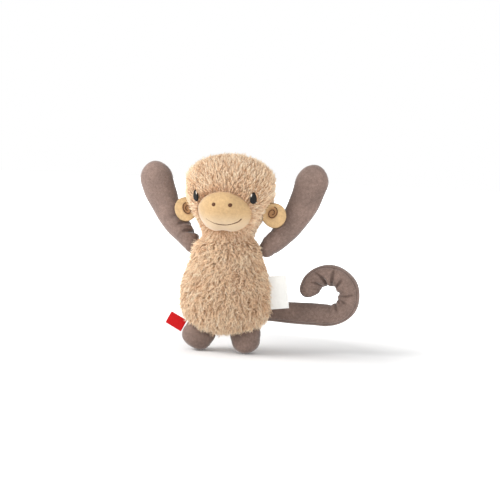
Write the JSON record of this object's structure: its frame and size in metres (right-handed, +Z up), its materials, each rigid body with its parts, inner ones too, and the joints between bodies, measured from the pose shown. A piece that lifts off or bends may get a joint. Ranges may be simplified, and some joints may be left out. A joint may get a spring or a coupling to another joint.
{
  "type": "stuffed toy monkey",
  "caption": "Small stuffed toy monkey that stands on two stump legs, with raised velour arms, round ears, a domed muzzle, a fleecy body and a long curled tail.",
  "frame": {"origin": "on the floor, under the middle of the toy's outer box", "axes": "+Z up, the toy faces -Y, and +X points to its own left, the side of the tail"},
  "size_m": [0.2234, 0.0858, 0.1938],
  "materials": {
    "beige_pile": "long curly pile, soft and matte",
    "taupe_velour": "short napped velour with a soft sheen",
    "golden_velour": "short napped velour with a soft sheen",
    "fibre_filling": "loose white polyester fibre",
    "white_ribbon": "woven satin ribbon, bare",
    "red_ribbon": "woven ribbon, bare",
    "black_embroidery": "satin-stitch thread",
    "brown_embroidery": "embroidery thread",
    "white_embroidery": "embroidery thread"
  },
  "bodies": {
    "torso": {"body_front_panel": "beige_pile", "body_back_panel": "beige_pile", "body_filling": "fibre_filling"},
    "head": {"head_front_panel": "beige_pile", "head_back_panel": "beige_pile", "head_filling": "fibre_filling", "muzzle_panel": "golden_velour", "muzzle_filling": "fibre_filling", "left_eye": "black_embroidery", "right_eye": "black_embroidery", "eye_highlights": "white_embroidery", "nostrils": "brown_embroidery", "mouth_stitch": "brown_embroidery"},
    "side_label": {"side_label": "white_ribbon"},
    "hip_label": {"hip_label": "red_ribbon"},
    "tail": {"tail_front_panel": "taupe_velour", "tail_back_panel": "taupe_velour", "tail_filling": "fibre_filling"},
    "left_ear": {"left_ear_front": "golden_velour", "left_ear_back": "golden_velour", "left_ear_spiral": "brown_embroidery"},
    "left_arm": {"left_arm_front_panel": "taupe_velour", "left_arm_back_panel": "taupe_velour", "left_arm_filling": "fibre_filling"},
    "left_leg": {"left_leg_front_panel": "taupe_velour", "left_leg_back_panel": "taupe_velour", "left_leg_filling": "fibre_filling"},
    "right_ear": {"right_ear_front": "golden_velour", "right_ear_back": "golden_velour", "right_ear_spiral": "brown_embroidery"},
    "right_arm": {"right_arm_front_panel": "taupe_velour", "right_arm_back_panel": "taupe_velour", "right_arm_filling": "fibre_filling"},
    "right_leg": {"right_leg_front_panel": "taupe_velour", "right_leg_back_panel": "taupe_velour", "right_leg_filling": "fibre_filling"}
  },
  "joints": [
    {"name": "neck_turn", "type": "hinge", "parent": "torso", "child": "head", "pos_m": [-0.01443, 0.0015, 0.111], "axis": [0, 0, 1], "range_deg": [-6, 6], "stiffness_Nm_per_rad": 0.15},
    {"name": "left_shoulder", "type": "hinge", "parent": "torso", "child": "left_arm", "pos_m": [0.02479, 0.00888, 0.10315], "axis": [0, 1, 0], "range_deg": [-2, 55], "stiffness_Nm_per_rad": 0.06},
    {"name": "right_shoulder", "type": "hinge", "parent": "torso", "child": "right_arm", "pos_m": [-0.05366, 0.00888, 0.10315], "axis": [0, -1, 0], "range_deg": [-2, 70], "stiffness_Nm_per_rad": 0.06},
    {"name": "left_hip", "type": "hinge", "parent": "torso", "child": "left_leg", "pos_m": [0.00658, 0.0048, 0.01316], "axis": [0.9903, 0, 0.1392], "range_deg": [-30, 30]},
    {"name": "right_hip", "type": "hinge", "parent": "torso", "child": "right_leg", "pos_m": [-0.04164, 0.0049, 0.01468], "axis": [0.829, 0, -0.5592], "range_deg": [-30, 30]},
    {"name": "tail_swing", "type": "hinge", "parent": "torso", "child": "tail", "pos_m": [0.00974, 0.03392, 0.03909], "axis": [0, 0, 1], "range_deg": [0, 90], "stiffness_Nm_per_rad": 0.04},
    {"name": "left_ear_fold", "type": "hinge", "parent": "head", "child": "left_ear", "pos_m": [0.02551, -0.0045, 0.13866], "axis": [-0.4961, 0, -0.8683], "range_deg": [-20, 30], "stiffness_Nm_per_rad": 0.002},
    {"name": "right_ear_fold", "type": "hinge", "parent": "head", "child": "right_ear", "pos_m": [-0.05438, -0.0045, 0.13866], "axis": [-0.4961, 0, 0.8683], "range_deg": [-20, 30], "stiffness_Nm_per_rad": 0.002},
    {"name": "side_label_flap", "type": "hinge", "parent": "torso", "child": "side_label", "pos_m": [0.03097, 0.0015, 0.06107], "axis": [-0.1402, 0, 0.9901], "range_deg": [-40, 40], "stiffness_Nm_per_rad": 0.0005},
    {"name": "hip_label_flap", "type": "hinge", "parent": "torso", "child": "hip_label", "pos_m": [-0.05469, 0.0015, 0.02955], "axis": [-0.454, 0, -0.891], "range_deg": [-40, 40], "stiffness_Nm_per_rad": 0.0005}
  ]
}
